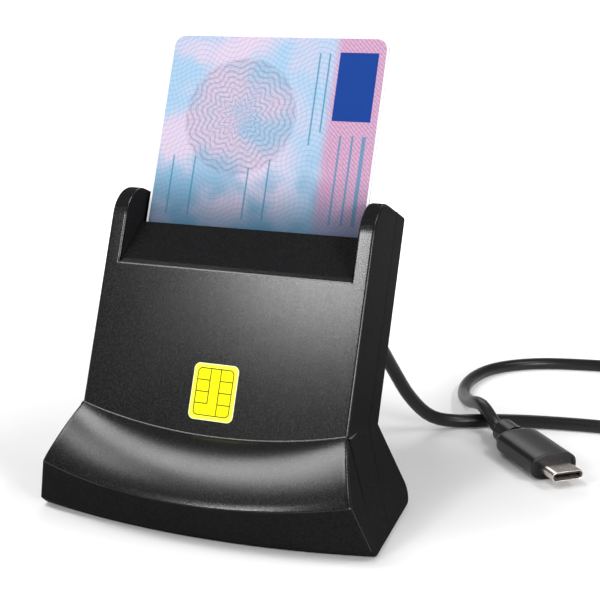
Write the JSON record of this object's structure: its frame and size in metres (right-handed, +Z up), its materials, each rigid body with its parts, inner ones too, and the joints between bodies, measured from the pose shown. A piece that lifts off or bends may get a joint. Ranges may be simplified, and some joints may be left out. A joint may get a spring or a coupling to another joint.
{
  "type": "smart card reader",
  "caption": "Leaning desktop smart card reader on a flared weighted foot, with a card standing in its top slot and a short USB lead.",
  "frame": {"origin": "on the table under the middle of the reader, halfway from the front of the foot to the back of the seated card's top", "axes": "+Z up, -Y out of the reader's front face, +X to the right as seen from the front"},
  "size_m": [0.173, 0.1628, 0.1044],
  "materials": {
    "shell_plastic": "satin moulded black with a fine grain",
    "rear_plastic": "fine-grained moulded black",
    "plated_steel": "zinc plated",
    "foot_rubber": "matt black rubber",
    "badge_yellow": "satin yellow inlay with dark grooves",
    "board_green": "green solder mask",
    "chip_black": "black moulding compound",
    "ceramic_tan": "fired ceramic",
    "inner_plastic": "black glass-filled plastic",
    "gold_plate": "gold flash over nickel",
    "cream_plastic": "cream plastic",
    "red_plastic": "red plastic",
    "wire_red": "wire insulation",
    "cable_rubber": "satin black cable sheath",
    "plug_plastic": "satin black overmould",
    "plug_steel": "bright nickel plate",
    "card_print": "printed card with pastel pink and blue line pattern"
  },
  "bodies": {
    "reader": {"front_shell": "shell_plastic", "rear_shell": "rear_plastic", "base_cover": "rear_plastic", "base_weight": "plated_steel", "rubber_feet": "foot_rubber", "base_screws": "plated_steel", "contact_badge": "badge_yellow", "circuit_board": "board_green", "board_screws": "plated_steel", "controller_chip": "chip_black", "memory_chip": "chip_black", "crystal": "plated_steel", "capacitors": "ceramic_tan", "contact_carrier": "inner_plastic", "contact_springs": "gold_plate", "card_cradle": "inner_plastic", "switch_housing": "cream_plastic", "cable_header": "cream_plastic", "inner_wires": "wire_red", "strain_relief": "cable_rubber", "cable_out": "cable_rubber", "cable_coil": "cable_rubber", "cable_back": "cable_rubber", "plug_neck": "plug_plastic", "plug_grip": "plug_plastic", "plug_shell": "plug_steel", "plug_insert": "inner_plastic", "plug_contacts": "gold_plate"},
    "card": {"smart_card": "card_print", "card_contact_plate": "gold_plate"},
    "plunger": {"switch_plunger": "red_plastic"}
  },
  "joints": [
    {"name": "card_slide", "type": "slide", "parent": "reader", "child": "card", "axis": [0, 0.3714, 0.9285], "range_m": [0, 0.05]},
    {"name": "plunger_slide", "type": "slide", "parent": "reader", "child": "plunger", "axis": [0, 0.3714, 0.9285], "range_m": [0, 0.0008]}
  ],
  "couplings": [
    {"joint": "plunger_slide", "follows": "card_slide", "ratio": 0.016}
  ]
}
